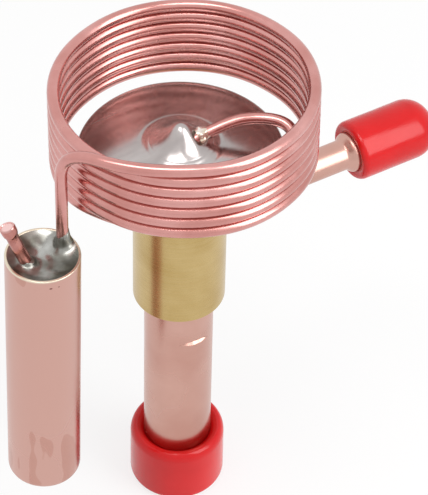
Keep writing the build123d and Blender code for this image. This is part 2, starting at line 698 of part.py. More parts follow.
NODES = {
    "outlet_cap": make_outlet_cap,
    "outlet_tube": make_outlet_tube,
    "outlet_braze": make_outlet_braze,
    "valve_body": make_valve_body,
    "orifice_seat": make_orifice_seat,
    "valve_ball": make_valve_ball,
    "ball_carrier": make_ball_carrier,
    "valve_spring": make_valve_spring,
    "adjusting_nut": make_adjusting_nut,
    "push_rod": make_push_rod,
    "rod_seal": make_rod_seal,
    "seal_retainer": make_seal_retainer,
    "thrust_pad": make_thrust_pad,
    "inlet_tube": make_inlet_tube,
    "inlet_strainer": make_inlet_strainer,
    "inlet_braze": make_inlet_braze,
    "inlet_cap": make_inlet_cap,
    "head_lower_case": make_head_lower_case,
    "diaphragm": make_diaphragm,
    "head_upper_case": make_head_upper_case,
    "capillary_tube": make_capillary_tube,
    "capillary_braze": make_capillary_braze,
    "sensing_bulb": make_sensing_bulb,
    "bulb_end_solder": make_bulb_end_solder,
    "bulb_fill_tube": make_bulb_fill_tube,
}

for name, make in NODES.items():
    export_step(make(), f"parts/{name}.step")

print("capillary bend radii", sorted(round(radius, 1) for radius in bend_radii(capillary_points())))
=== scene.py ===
import math

import bmesh
import bpy
from mathutils import Matrix, Vector, noise


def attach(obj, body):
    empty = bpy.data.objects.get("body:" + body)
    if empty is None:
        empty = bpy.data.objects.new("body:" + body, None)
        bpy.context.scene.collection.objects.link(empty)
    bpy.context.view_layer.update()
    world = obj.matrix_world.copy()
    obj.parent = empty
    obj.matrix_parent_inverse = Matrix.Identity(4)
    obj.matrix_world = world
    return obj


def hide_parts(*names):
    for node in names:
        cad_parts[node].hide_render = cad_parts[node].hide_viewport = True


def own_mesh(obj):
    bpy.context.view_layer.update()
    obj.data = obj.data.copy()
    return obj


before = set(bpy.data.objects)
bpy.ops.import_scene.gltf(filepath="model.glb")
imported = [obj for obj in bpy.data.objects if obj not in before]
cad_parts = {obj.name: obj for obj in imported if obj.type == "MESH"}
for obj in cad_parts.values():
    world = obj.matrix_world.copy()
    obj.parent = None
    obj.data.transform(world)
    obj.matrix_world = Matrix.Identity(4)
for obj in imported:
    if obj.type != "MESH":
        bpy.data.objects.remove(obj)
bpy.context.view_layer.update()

# Thermostatic expansion valve. Sizes are millimetres until mm() turns them into the frame's metres,
# and azimuths are degrees about the valve axis, counted from the inlet. Finishes work in metres.

TUBE_TOP_Z = 66.5
INLET_Z = 84.2
HEAD_R = 22.85
HEAD_RIM_TOP_Z = 105.1
HEAD_SHEET = 1.2
BOSS_R = 7.55
BOSS_FOOT_Z = 107.9
BOSS_TOP_Z = 113.2
WIRE_R = 1.35
COIL_R = 28.0
COIL_PITCH = 2.87
COIL_TOP_Z = 125.1
COIL_LEAN = 1.9
COIL_LEAN_AZ = -109.4
COIL_SHIFT = (0.5, -0.3)
COIL_START_AZ = -138.3
COIL_TOTAL_TURN = 2475
COIL_STEP = 45
BULB_R = 8.25
BULB_LENGTH = 68.0
BULB_WALL = 0.6
BULB_PLACE = (38.3, -170.0, 97.7)
BULB_TURN = -31.3
BULB_LEAN = 1.0
LEAD_IN_BULB = (4.1, 4.1)
FILL_IN_BULB = (-2.75, -1.3)
FILL_LEAN = 21.0

CAMERA_AZ = -31.3
CAMERA_ELEVATION = 45.458
CAMERA_DISTANCE = 674.0
CAMERA_TARGET = (6.627, -4.029, 75.54)
CAMERA_ROLL = 1.43
CAMERA_LENS = 218.18
CAMERA_SENSOR = 36

SAME_PLACE = 1e-6


def mm(value):
    return value * 0.001


def polar(radius, azimuth, z):
    """Point in metres at a radius and azimuth about the valve axis."""
    turn = math.radians(azimuth)
    return Vector((mm(radius) * math.cos(turn), mm(radius) * math.sin(turn), mm(z)))


def srgb(red, green, blue):
    """Linear colour from the 0 to 255 numbers of a paint chart."""
    def straight(value):
        share = value / 255
        return share / 12.92 if share <= 0.04045 else ((share + 0.055) / 1.055) ** 2.4
    return (straight(red), straight(green), straight(blue), 1.0)


# ---- finishes ------------------------------------------------------------------------------
class Finish:
    """A node material with one Principled shader, and short ways to add patterns to it."""

    def __init__(self, name, metallic, roughness):
        self.material = bpy.data.materials.new(name)
        self.material.use_nodes = True
        self.nodes = self.material.node_tree.nodes
        self.links = self.material.node_tree.links
        self.shader = self.nodes["Principled BSDF"]
        self.shader.inputs["Metallic"].default_value = metallic
        self.shader.inputs["Roughness"].default_value = roughness
        self.place = self.nodes.new("ShaderNodeTexCoord").outputs["Object"]

    def join(self, source, target):
        self.links.new(source, target)

    def mapped(self, scale, turn=(0, 0, 0), start=(0, 0, 0)):
        """Object coordinates with a pattern's own stretch, turn and start."""
        node = self.nodes.new("ShaderNodeMapping")
        node.inputs["Scale"].default_value = scale
        node.inputs["Rotation"].default_value = [math.radians(angle) for angle in turn]
        node.inputs["Location"].default_value = start
        self.join(self.place, node.inputs["Vector"])
        return node.outputs["Vector"]

    def cloud(self, scale, detail=3.0, vector=None):
        """Soft noise, on object coordinates unless another vector is given."""
        node = self.nodes.new("ShaderNodeTexNoise")
        node.inputs["Scale"].default_value = scale
        node.inputs["Detail"].default_value = detail
        self.join(vector or self.place, node.inputs["Vector"])
        return node.outputs["Fac"]

    def ramp(self, factor, stops):
        """Colour ramp with (place, colour) stops."""
        node = self.nodes.new("ShaderNodeValToRGB")
        elements = node.color_ramp.elements
        while len(elements) < len(stops):
            elements.new(0.5)
        for element, (place, colour) in zip(elements, stops):
            element.position = place
            element.color = colour
        self.join(factor, node.inputs["Fac"])
        return node.outputs["Color"]

    def span(self, factor, low, high, new_low, new_high):
        """A pattern's value carried from one range to another."""
        node = self.nodes.new("ShaderNodeMapRange")
        ends = (low, high, new_low, new_high)
        for socket, value in zip(("From Min", "From Max", "To Min", "To Max"), ends):
            node.inputs[socket].default_value = value
        self.join(factor, node.inputs["Value"])
        return node.outputs["Result"]

    def maths(self, first, second, operation="ADD"):
        """Two values or patterns, added unless another operation is named."""
        node = self.nodes.new("ShaderNodeMath")
        node.operation = operation
        for socket, value in zip(node.inputs, (first, second)):
            if isinstance(value, (int, float)):
                socket.default_value = value
            else:
                self.join(value, socket)
        return node.outputs["Value"]

    def blended(self, factor, first, second):
        """Two colours mixed by a factor."""
        node = self.nodes.new("ShaderNodeMix")
        node.data_type = "RGBA"
        for key, value in (("Factor_Float", factor), ("A_Color", first), ("B_Color", second)):
            socket = next(s for s in node.inputs if s.identifier == key)
            if isinstance(value, (int, float, tuple)):
                socket.default_value = value
            else:
                self.join(value, socket)
        return next(s for s in node.outputs if s.identifier == "Result_Color")

    def height(self):
        """Height of the surface, in metres."""
        node = self.nodes.new("ShaderNodeSeparateXYZ")
        self.join(self.place, node.inputs["Vector"])
        return node.outputs["Z"]

    def distance(self, point, stretch=(1, 1, 1)):
        """Distance of the surface from a point, with each axis weighed."""
        offset = self.nodes.new("ShaderNodeVectorMath")
        offset.operation = "SUBTRACT"
        self.join(self.place, offset.inputs[0])
        offset.inputs[1].default_value = point
        weigh = self.nodes.new("ShaderNodeVectorMath")
        weigh.operation = "MULTIPLY"
        self.join(offset.outputs["Vector"], weigh.inputs[0])
        weigh.inputs[1].default_value = stretch
        length = self.nodes.new("ShaderNodeVectorMath")
        length.operation = "LENGTH"
        self.join(weigh.outputs["Vector"], length.inputs[0])
        return length.outputs["Value"]

    def colour(self, source):
        self.join(source, self.shader.inputs["Base Color"])

    def roughness(self, source):
        self.join(source, self.shader.inputs["Roughness"])

    def relief(self, height, depth):
        """Bump of so many metres at a height of 1."""
        node = self.nodes.new("ShaderNodeBump")
        node.inputs["Strength"].default_value = 1.0
        node.inputs["Distance"].default_value = depth
        self.join(height, node.inputs["Height"])
        self.join(node.outputs["Normal"], self.shader.inputs["Normal"])


def tinted(finish, tones, scale, detail=3.0):
    """Base colour that drifts through three tones."""
    pattern = finish.cloud(scale, detail)
    finish.colour(finish.ramp(pattern, list(zip((0.32, 0.52, 0.72), tones))))


def drawn_copper():
    """Tube copper: tone that drifts, and faint draw lines that run up and down."""
    finish = Finish("tube_copper", 1.0, 0.2)
    tinted(finish, (srgb(194, 147, 134), srgb(202, 158, 145), srgb(210, 168, 156)), 60, 4)
    finish.roughness(finish.span(finish.cloud(60, 2), 0.35, 0.7, 0.2, 0.34))
    lines = finish.cloud(1.0, 2, finish.mapped((600, 600, 14)))
    finish.relief(lines, 0.000002)
    return finish.material


def turned_brass():
    """Brass bar with fine tool marks round it, and tarnish that has crept in patches."""
    finish = Finish("turned_brass", 1.0, 0.24)
    clean, dull = srgb(202, 177, 124), srgb(185, 157, 100)
    patches = finish.ramp(finish.cloud(75, 5), [(0.4, clean), (0.72, dull)])
    marks = finish.cloud(1.0, 3, finish.mapped((8, 8, 5200)))
    streaks = finish.cloud(1.0, 2, finish.mapped((30, 30, 1400)))
    streaky = finish.span(streaks, 0.4, 0.75, 0, 0.16)
    finish.colour(finish.blended(streaky, patches, srgb(210, 188, 142)))
    finish.roughness(finish.span(marks, 0.3, 0.7, 0.23, 0.3))
    finish.relief(marks, 0.0000012)
    return finish.material


def plain_metal(name, tone, second, rough):
    """Metal of the inner pieces: two near tones, uneven polish and a fine grain."""
    finish = Finish(name, 1.0, rough)
    pattern = finish.cloud(300, 4)
    finish.colour(finish.ramp(pattern, [(0.35, tone), (0.7, second)]))
    finish.roughness(finish.span(pattern, 0.3, 0.7, rough * 0.8, rough * 1.3))
    finish.relief(pattern, 0.00001)
    return finish.material


def rubber():
    """Seal rubber: near black and matt."""
    finish = Finish("seal_rubber", 0.0, 0.55)
    pattern = finish.cloud(500, 3)
    finish.colour(finish.ramp(pattern, [(0.3, srgb(26, 26, 27)), (0.7, srgb(40, 40, 41))]))
    finish.relief(pattern, 0.00002)
    return finish.material


def red_vinyl():
    """Dipped cap: deep glossy red with a slightly wavy skin."""
    finish = Finish("red_vinyl", 0.0, 0.2)
    finish.shader.inputs["IOR"].default_value = 1.42
    finish.shader.inputs["Subsurface Weight"].default_value = 0.15
    finish.shader.inputs["Subsurface Radius"].default_value = (0.004, 0.0008, 0.0008)
    finish.shader.inputs["Subsurface Scale"].default_value = 0.5
    tinted(finish, (srgb(204, 12, 16), srgb(214, 16, 20), srgb(222, 22, 26)), 55)
    finish.roughness(finish.span(finish.cloud(160, 4), 0.35, 0.7, 0.14, 0.26))
    finish.relief(finish.cloud(110, 2), 0.00006)
    return finish.material


def coil_copper():
    """Capillary copper: salmon in three near tones, under a thin clear coat."""
    finish = Finish("capillary_copper", 1.0, 0.24)
    tinted(finish, (srgb(198, 134, 127), srgb(209, 148, 142), srgb(219, 163, 158)), 90, 5)
    finish.roughness(finish.span(finish.cloud(180, 4), 0.35, 0.7, 0.18, 0.32))
    finish.relief(finish.cloud(420, 3), 0.000006)
    finish.shader.inputs["Coat Weight"].default_value = 0.35
    finish.shader.inputs["Coat Roughness"].default_value = 0.16
    return finish.material


def polished_head():
    """Pressed head: bright steel with a hand-polished grain that runs one way."""
    finish = Finish("polished_head", 1.0, 0.14)
    grain_turn = (0, 0, 24)
    grain = finish.cloud(1.0, 4, finish.mapped((40, 700, 40), grain_turn))
    cloudy = finish.cloud(70, 4, finish.mapped((1, 2.6, 1), grain_turn))
    tones = [(0.3, srgb(168, 160, 158)), (0.55, srgb(184, 177, 175)), (0.75, srgb(198, 192, 190))]
    finish.colour(finish.ramp(cloudy, tones))
    finish.roughness(finish.span(finish.maths(grain, cloudy), 0.7, 1.35, 0.15, 0.29))
    finish.relief(grain, 0.000006)
    return finish.material


def solder_grey():
    """Silver alloy: dull silver in three tones, with patches of olive-brown flux."""
    finish = Finish("silver_solder", 1.0, 0.26)
    drift = finish.cloud(170, 3)
    grain = finish.cloud(900, 3)
    tones = [(0.34, srgb(98, 96, 87)), (0.52, srgb(142, 141, 135)), (0.7, srgb(186, 186, 182))]
    base = finish.ramp(drift, tones)
    flux = finish.maths(finish.cloud(260, 4), finish.maths(grain, 0.25, "MULTIPLY"))
    stain = finish.span(flux, 0.7, 0.86, 0, 0.6)
    finish.colour(finish.blended(stain, base, srgb(78, 66, 50)))
    finish.roughness(finish.span(drift, 0.35, 0.7, 0.4, 0.22))
    finish.relief(finish.maths(drift, finish.maths(grain, 0.08, "MULTIPLY")), 0.00004)
    return finish.material


def braze_alloy():
    """Braze alloy: bright and lumpy, with small copper-brown spots."""
    finish = Finish("braze_alloy", 0.9, 0.2)
    spots = finish.cloud(700, 4)
    base = finish.ramp(finish.cloud(420, 3), [(0.35, srgb(216, 198, 176)), (0.65, srgb(242, 236, 230))])
    finish.colour(finish.blended(finish.span(spots, 0.58, 0.68, 0, 0.5), base, srgb(150, 104, 76)))
    finish.roughness(finish.span(spots, 0.35, 0.7, 0.12, 0.4))
    finish.relief(finish.cloud(500, 3), 0.00018)
    return finish.material


# The bulb's tin-coated rim, painted bright as a highlight too, as heights, and its dark specks, as (place,
# size).
RIM_TIN_AND_HIGHLIGHT_FROM, RIM_TIN_AND_HIGHLIGHT_TO = 0.09722, 0.09748
BULB_SPECKS = (((-0.0400, -0.01459, 0.09555), 0.00042), ((-0.03823, -0.01489, 0.09553), 0.00026))


def bulb_finish():
    """Bulb copper: soft tone bands along its length, a tin-coated rim that is also painted bright as a
    highlight, and two dark specks below it.
    """
    finish = Finish("bulb_copper", 1.0, 0.26)
    bands = finish.cloud(1.0, 2, finish.mapped((130, 130, 9)))
    blush = finish.cloud(40, 2)
    tones = [(0.82, srgb(189, 138, 125)), (1.0, srgb(198, 151, 139)), (1.18, srgb(206, 163, 152))]
    tone = finish.ramp(finish.maths(bands, blush), tones)
    # Painted highlight: the rim band is tin coloured, and bright enough to stand in for the rim's
    # highlight.
    tin_and_highlight = finish.span(finish.height(), RIM_TIN_AND_HIGHLIGHT_FROM, RIM_TIN_AND_HIGHLIGHT_TO, 0, 0.92)
    tone = finish.blended(tin_and_highlight, tone, srgb(228, 218, 196))
    for place, size in BULB_SPECKS:
        speck = finish.span(finish.distance(place, (1, 1, 1.6)), size * 0.5, size, 0.9, 0)
        tone = finish.blended(speck, tone, srgb(96, 40, 34))
    finish.colour(tone)
    finish.roughness(finish.span(blush, 0.35, 0.7, 0.22, 0.32))
    finish.relief(bands, 0.000006)
    return finish.material


def stub_finish():
    """Stub copper: uneven in tone, and bright where it was sheared off, as fresh metal and as a painted
    highlight.
    """
    finish = Finish("stub_copper", 1.0, 0.2)
    tones = [(0.35, srgb(172, 112, 104)), (0.55, srgb(196, 138, 130)), (0.72, srgb(222, 172, 166))]
    tone = finish.ramp(finish.cloud(260, 3), tones)
    cut_middle = stub_place() @ Vector((0, 0, mm(STUB_CUT_Z)))
    # Painted highlight as well as fresh metal: the cut end is painted near-white pink.
    cut = finish.span(finish.distance(cut_middle), 0.0012, 0.0019, 1, 0)
    finish.colour(finish.blended(cut, tone, srgb(244, 206, 202)))
    finish.roughness(finish.span(finish.cloud(300, 2), 0.35, 0.7, 0.14, 0.3))
    finish.relief(finish.cloud(330, 2), 0.00004)
    return finish.material


# ---- making pieces -------------------------------------------------------------------------
def revolved(profile, closed=True, steps=128):
    """Shape turned about Z from (radius, z) corners in millimetres."""
    shape = bmesh.new()
    corners = [shape.verts.new((mm(radius), 0, mm(z))) for radius, z in profile]
    edges = [shape.edges.new(pair) for pair in zip(corners, corners[1:])]
    if closed:
        edges.append(shape.edges.new((corners[-1], corners[0])))
    bmesh.ops.spin(
        shape, geom=corners + edges, cent=(0, 0, 0), axis=(0, 0, 1),
        angle=math.tau, steps=steps, use_merge=True,
    )
    bmesh.ops.remove_doubles(shape, verts=shape.verts, dist=1e-7)
    bmesh.ops.recalc_face_normals(shape, faces=shape.faces)
    return shape


def on_ring(vert, radius, z):
    return abs(vert.co.z - mm(z)) < SAME_PLACE and abs(vert.co.xy.length - mm(radius)) < SAME_PLACE


def rounded(shape, *rings, segments=6):
    """Rounds the circular edges at (radius, z), each to its own width."""
    for radius, z, width in rings:
        ring = [edge for edge in shape.edges if all(on_ring(vert, radius, z) for vert in edge.verts)]
        bmesh.ops.bevel(
            shape, geom=ring, offset=mm(width), offset_type="OFFSET", segments=segments,
            profile=0.5, affect="EDGES", material=-1,
        )


def shaded(shape, sharp=38):
    """Smooth shading, broken at edges that turn by more than so many degrees."""
    for face in shape.faces:
        face.smooth = True
    for edge in shape.edges:
        if len(edge.link_faces) == 2 and edge.calc_face_angle(0) > math.radians(sharp):
            edge.smooth = False


def eased(share):
    """0 to 1 with a soft start and end."""
    share = min(max(share, 0), 1)
    return share * share * (3 - 2 * share)


def bell(distance, width):
    return math.exp(-(distance / width) ** 2)


def spread(low, high, count):
    return [low + (high - low) * index / count for index in range(count + 1)]


def finished(name, shape, body, slot, material, *nodes):
    """Object from a bmesh, riding on its body in place of the CAD nodes."""
    shaded(shape)
    mesh = bpy.data.meshes.new(name)
    shape.to_mesh(mesh)
    shape.free()
    mesh.materials.append(material)
    piece = bpy.data.objects.new(name, mesh)
    bpy.context.scene.collection.objects.link(piece)
    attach(piece, body)
    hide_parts(*nodes)
    return piece


# ---- capillary -----------------------------------------------------------------------------
LEAD_DEPTH = 3.8
LEAD_CORNER_DROP = 0.8
LEAD_STRAIGHT_BELOW = 16.6
# The tail inside the coil, as (degrees past the coil's end, further out, further up).
TAIL_CLEARANCE = 0.3
TAIL_BENDS = ((33, 1.3, 0.0), (66, 0.8, 0.7), (98, 0.7, 2.6), (128, 0.3, 4.3), (148, -0.6, 5.6))
# The way from the tail through the side of the boss, as (radius, azimuth, height).
CROSSING = ((23.1, -26.0, 112.5), (17.6, -19.8, 112.6))
ENTRY_OUTSIDE = (10.6, -19.0, 112.5)
ENTRY_INSIDE = (2.9, -56.0, 109.6)


def coil_place():
    """Frame of the wound coil: its top turn's centre, leaned towards one side."""
    middle = COIL_PITCH * COIL_TOTAL_TURN / 720
    turn = Matrix.Rotation(math.radians(COIL_LEAN_AZ), 4, "Z")
    lean = turn @ Matrix.Rotation(math.radians(-COIL_LEAN), 4, "Y") @ turn.inverted()
    up = Matrix.Translation((mm(COIL_SHIFT[0]), mm(COIL_SHIFT[1]), mm(COIL_TOP_Z - middle)))
    return up @ lean @ Matrix.Translation((0, 0, mm(middle)))


def coil_point(radius, azimuth, wound):
    return coil_place() @ polar(radius, azimuth, -COIL_PITCH * wound / 360)


def bulb_place():
    """Frame at the middle of the bulb's open end."""
    turn = Matrix.Rotation(math.radians(BULB_TURN), 4, "Z")
    lean = Matrix.Rotation(math.radians(BULB_LEAN), 4, "Y")
    return Matrix.Translation(polar(*BULB_PLACE)) @ turn @ lean


def stub_place():
    """Frame at the foot of the charging stub."""
    lean = Matrix.Rotation(math.radians(-FILL_LEAN), 4, "Y")
    foot = Matrix.Translation((mm(FILL_IN_BULB[0]), mm(FILL_IN_BULB[1]), mm(-STUB_DEPTH)))
    return bulb_place() @ foot @ lean


def capillary_route():
    """Control points of the capillary: lead, coil, tail inside the coil, entry into the boss."""
    foot = bulb_place() @ Vector((mm(LEAD_IN_BULB[0]), mm(LEAD_IN_BULB[1]), mm(-LEAD_DEPTH)))
    vertex_r = COIL_R / math.cos(math.radians(COIL_STEP / 2))
    first = coil_point(vertex_r, COIL_START_AZ, 0)
    corner_z = first.z - mm(LEAD_CORNER_DROP)
    route = [foot]
    route += [Vector((foot.x, foot.y, z)) for z in (corner_z - mm(LEAD_STRAIGHT_BELOW), corner_z)]
    for step in range(COIL_TOTAL_TURN // COIL_STEP + 1):
        wound = step * COIL_STEP
        route.append(coil_point(vertex_r, COIL_START_AZ + wound, wound))
    end_az = COIL_START_AZ + COIL_TOTAL_TURN
    inside = COIL_R - 2 * WIRE_R - TAIL_CLEARANCE
    for turn, out, rise in TAIL_BENDS:
        point = coil_point(inside + out, end_az + turn, COIL_TOTAL_TURN)
        route.append(point + Vector((0, 0, mm(rise))))
    return route + [polar(*place) for place in (*CROSSING, ENTRY_OUTSIDE, ENTRY_INSIDE)]


def tube_along(route, wire_r, smoothness):
    """Bmesh of a round tube along a smooth line steered by control points in metres."""
    curve = bpy.data.curves.new("route", "CURVE")
    curve.dimensions = "3D"
    curve.resolution_u = smoothness
    curve.bevel_depth = mm(wire_r)
    curve.bevel_resolution = 7
    curve.use_fill_caps = True
    spline = curve.splines.new("NURBS")
    spline.points.add(len(route) - 1)
    for point, place in zip(spline.points, route):
        point.co = (*place, 1)
    spline.order_u = 3
    spline.use_endpoint_u = True
    line = bpy.data.objects.new("route", curve)
    bpy.context.scene.collection.objects.link(line)
    bpy.context.view_layer.update()
    mesh = bpy.data.meshes.new_from_object(line.evaluated_get(bpy.context.evaluated_depsgraph_get()))
    bpy.data.objects.remove(line)
    shape = bmesh.new()
    shape.from_mesh(mesh)
    bpy.data.meshes.remove(mesh)
    bmesh.ops.remove_doubles(shape, verts=shape.verts, dist=1e-6)
    return shape


def capillary(material):
    """One smooth tube along the whole route."""
    shape = tube_along(capillary_route(), WIRE_R, 12)
    finished("capillary", shape, "valve", "capillary_copper", material, "capillary_tube")


SPRING_R = 3.8
SPRING_WIRE_R = 0.4
SPRING_LOW_Z, SPRING_HIGH_Z = 70.02, 75.41
SPRING_TURNS = 4
SPRING_STEP = 60


def valve_spring(material):
    """Compression spring under the ball carrier, with a mesh of its own."""
    vertex_r = SPRING_R / math.cos(math.radians(SPRING_STEP / 2))
    heights = spread(SPRING_LOW_Z, SPRING_HIGH_Z, SPRING_TURNS * 360 // SPRING_STEP)
    route = [polar(vertex_r, index * SPRING_STEP, z) for index, z in enumerate(heights)]
    shape = tube_along(route, SPRING_WIRE_R, 8)
    spring = finished("compression_spring", shape, "valve", "steel_parts", material, "valve_spring")
    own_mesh(spring)


# ---- power head ----------------------------------------------------------------------------
CONE_RISE = 2.8
CONE_INNER_R = 9.6
PEAK_R = 6.9
PEAK_HOLLOW = 0.76
PEAK_FOOT_RISE = 0.45
PEAK_TO_RING_R, PEAK_TO_RING_WIDTH = 6.6, 1.5
RING_R, RING_DEPTH, RING_WIDTH = 8.7, 0.12, 0.6
CONE_PLAIN_R = 11
# The rolled rim: where it starts in from the rim, and its (distance in, height).
RIM_ROLL_START = 0.6
RIM_ROLL = ((0.35, 105.07), (0.12, 104.93), (0, 104.66))
CASE_FLAT_R = 18.25
CASE_HOLLOW_R = 6.35
PEAK_SHEET = 1.5
COLLAR_PROFILE = ((1.2, 0), (2.0, 0), (2.05, 0.5), (1.95, 1.1), (1.7, 1.6), (1.5, 2.0), (1.34, 2.4))
COLLAR_START = 1.3
COLLAR_OUTSIDE_R = 1.31
COLLAR_SWELL, COLLAR_LUMPS = 0.22, 900


def crown_height(radius):
    """Top of the crown: cone, shallow groove round the boss, hollow flank and round peak."""
    cone = HEAD_RIM_TOP_Z + CONE_RISE * (HEAD_R - radius) / (HEAD_R - BOSS_R)
    if radius > CONE_INNER_R:
        return cone
    share = min(radius / PEAK_R, 1)
    hollow = 1 / (1 + (share / PEAK_HOLLOW) ** 2)
    foot = 1 / (1 + 1 / PEAK_HOLLOW ** 2)
    peak_rise = BOSS_TOP_Z - BOSS_FOOT_Z - PEAK_FOOT_RISE
    peak = BOSS_FOOT_Z + PEAK_FOOT_RISE + peak_rise * (hollow - foot) / (1 - foot)
    step = eased((radius - PEAK_TO_RING_R) / PEAK_TO_RING_WIDTH)
    ring = cone - RING_DEPTH * bell(radius - RING_R, RING_WIDTH)
    return peak * (1 - step) + ring * step


def crown(material):
    """Pressed upper case, its rim edge rolled and its peak hollow underneath."""
    seat_z = HEAD_RIM_TOP_Z - HEAD_SHEET
    radii = spread(0, CONE_INNER_R, 64) + spread(CONE_PLAIN_R, HEAD_R - RIM_ROLL_START, 6)
    top = [(radius, crown_height(radius)) for radius in radii]
    edge = [(HEAD_R - inward, z) for inward, z in RIM_ROLL] + [(HEAD_R, seat_z)]
    under = [(CASE_FLAT_R, seat_z), (CASE_HOLLOW_R, BOSS_FOOT_Z - HEAD_SHEET), (0, BOSS_TOP_Z - PEAK_SHEET)]
    shape = revolved(top + edge + under, closed=False, steps=160)
    finished("crown", shape, "valve", "head_plating", material, "head_upper_case")


def braze_collar(material):
    """Bead of alloy round the capillary where it enters the boss, a little uneven."""
    inner, outer = polar(*ENTRY_INSIDE), polar(*ENTRY_OUTSIDE)
    way = (outer - inner).normalized()
    shape = revolved(COLLAR_PROFILE, steps=48)
    bmesh.ops.subdivide_edges(shape, edges=shape.edges, cuts=1, use_grid_fill=True)
    for vert in shape.verts:
        if vert.co.xy.length > mm(COLLAR_OUTSIDE_R):
            swell = 1 + COLLAR_SWELL * noise.noise(vert.co * COLLAR_LUMPS)
            vert.co.x *= swell
            vert.co.y *= swell
    turn = way.to_track_quat("Z", "Y").to_matrix().to_4x4()
    shape.transform(Matrix.Translation(inner + way * mm(COLLAR_START)) @ turn)
    finished("braze_collar", shape, "valve", "silver_alloy", material, "capillary_braze")


# ---- tubes and caps ------------------------------------------------------------------------
CAP_FLOOR = 1.6
OUTLET_R, OUTLET_BORE_R = 7.94, 6.99
OUTLET_SOCKET_R, OUTLET_SOCKET_BORE_R = 8.84, 7.99
OUTLET_SOCKET_Z, OUTLET_NECK_Z = 11.0, 12.3
OUTLET_MOUTH_R, OUTLET_EDGE_R, OUTLET_EDGE_Z = 8.04, 8.6, 1.85
# The dent: its height, the azimuths it runs between, how far its middle rises, how fast it grows
# and fades along its run, and the stretch of tube that has fine rings for it.
DENT_Z = 50.8
DENT_FROM, DENT_TO = -124.0, -63.0
DENT_ARCH = 0.9
DENT_HALF_BAND = 2.1
DENT_DEPTH = 0.85
DENT_LIP = 0.3
DENT_GROWTH, DENT_FADE = 2.2, 3.2
DENT_OVERRUN = 0.1
DENT_LEAST_REACH = 0.02
DENT_SKIN_R = 7.9
DENT_RINGS_FROM, DENT_RINGS_TO = 49.0, 53.0
# The inlet, from the socket's end: radii, bores, and the heights of the flare.
INLET_R, INLET_BORE_R = 3.55, 2.8
INLET_SOCKET_R, INLET_SOCKET_BORE_R = 4.72, 4.02
INLET_FLARE_FROM, INLET_FLARE_TO = 20.0, 22.2
INLET_BORE_FLARE_TO = 22.4
INLET_EDGE_R, INLET_EDGE_Z = 4.55, 0.17
INLET_LENGTH = 58.0
INLET_CAP_END_X = 65.9


def outlet_pipe(material):
    """Outlet tube with its hidden socket, and a dent part of the way round it."""
    heights = spread(OUTLET_NECK_Z, DENT_RINGS_FROM, 12)[1:]
    heights += spread(DENT_RINGS_FROM, DENT_RINGS_TO, 50)[1:] + [TUBE_TOP_Z]
    neck = [(OUTLET_R, z) for z in heights]
    narrowing, rise = OUTLET_SOCKET_R - OUTLET_R, OUTLET_NECK_Z - OUTLET_SOCKET_Z
    flare = [
        (OUTLET_SOCKET_R - narrowing * eased(share), OUTLET_SOCKET_Z + rise * share)
        for share in spread(0, 1, 8)
    ]
    end = [(OUTLET_MOUTH_R, CAP_FLOOR), (OUTLET_EDGE_R, CAP_FLOOR), (OUTLET_SOCKET_R, OUTLET_EDGE_Z)]
    inside = [
        (OUTLET_BORE_R, TUBE_TOP_Z), (OUTLET_BORE_R, OUTLET_NECK_Z),
        (OUTLET_SOCKET_BORE_R, OUTLET_SOCKET_Z),
    ]
    shape = revolved(end + flare + neck + inside, steps=192)
    for vert in shape.verts:
        if vert.co.xy.length < mm(DENT_SKIN_R) or abs(vert.co.z - mm(DENT_Z)) > mm(DENT_HALF_BAND):
            continue
        azimuth = math.degrees(math.atan2(vert.co.y, vert.co.x))
        along = (azimuth - DENT_FROM) / (DENT_TO - DENT_FROM)
        if not -DENT_OVERRUN < along < 1 + DENT_OVERRUN:
            continue
        middle = DENT_Z + DENT_ARCH * math.sin(math.pi * min(max(along, 0), 1))
        reach = eased(along * DENT_GROWTH) * eased((1 - along) * DENT_FADE) + DENT_LEAST_REACH
        below = (middle - vert.co.z * 1000) / reach
        slope = max(1 - below, 0) if below > 0 else eased(1 + below * reach / DENT_LIP)
        stretch = 1 + mm(-DENT_DEPTH * reach * slope) / vert.co.xy.length
        vert.co.x *= stretch
        vert.co.y *= stretch
    finished("outlet_pipe", shape, "valve", "copper_tube", material, "outlet_tube")


def lay_along_inlet(shape):
    """Turns a shape made from its closed end up Z so that it caps the inlet."""
    turn = Matrix.Rotation(math.radians(-90), 4, "Y")
    shape.transform(Matrix.Translation((mm(INLET_CAP_END_X), 0, mm(INLET_Z))) @ turn)


def inlet_pipe(material):
    """Inlet tube with the soft flare of its socket."""
    narrowing, rise = INLET_SOCKET_R - INLET_R, INLET_FLARE_TO - INLET_FLARE_FROM
    flare = [
        (INLET_SOCKET_R - narrowing * eased(share), INLET_FLARE_FROM + rise * share)
        for share in spread(0, 1, 10)
    ]
    end = [(INLET_SOCKET_BORE_R, 0), (INLET_EDGE_R, 0), (INLET_SOCKET_R, INLET_EDGE_Z)]
    inside = [
        (INLET_BORE_R, INLET_LENGTH), (INLET_BORE_R, INLET_BORE_FLARE_TO),
        (INLET_SOCKET_BORE_R, INLET_FLARE_FROM),
    ]
    shape = revolved(end + flare + [(INLET_R, INLET_LENGTH)] + inside, steps=96)
    shape.transform(Matrix.Translation((0, 0, mm(CAP_FLOOR))))
    lay_along_inlet(shape)
    finished("inlet_pipe", shape, "valve", "copper_tube", material, "inlet_tube")


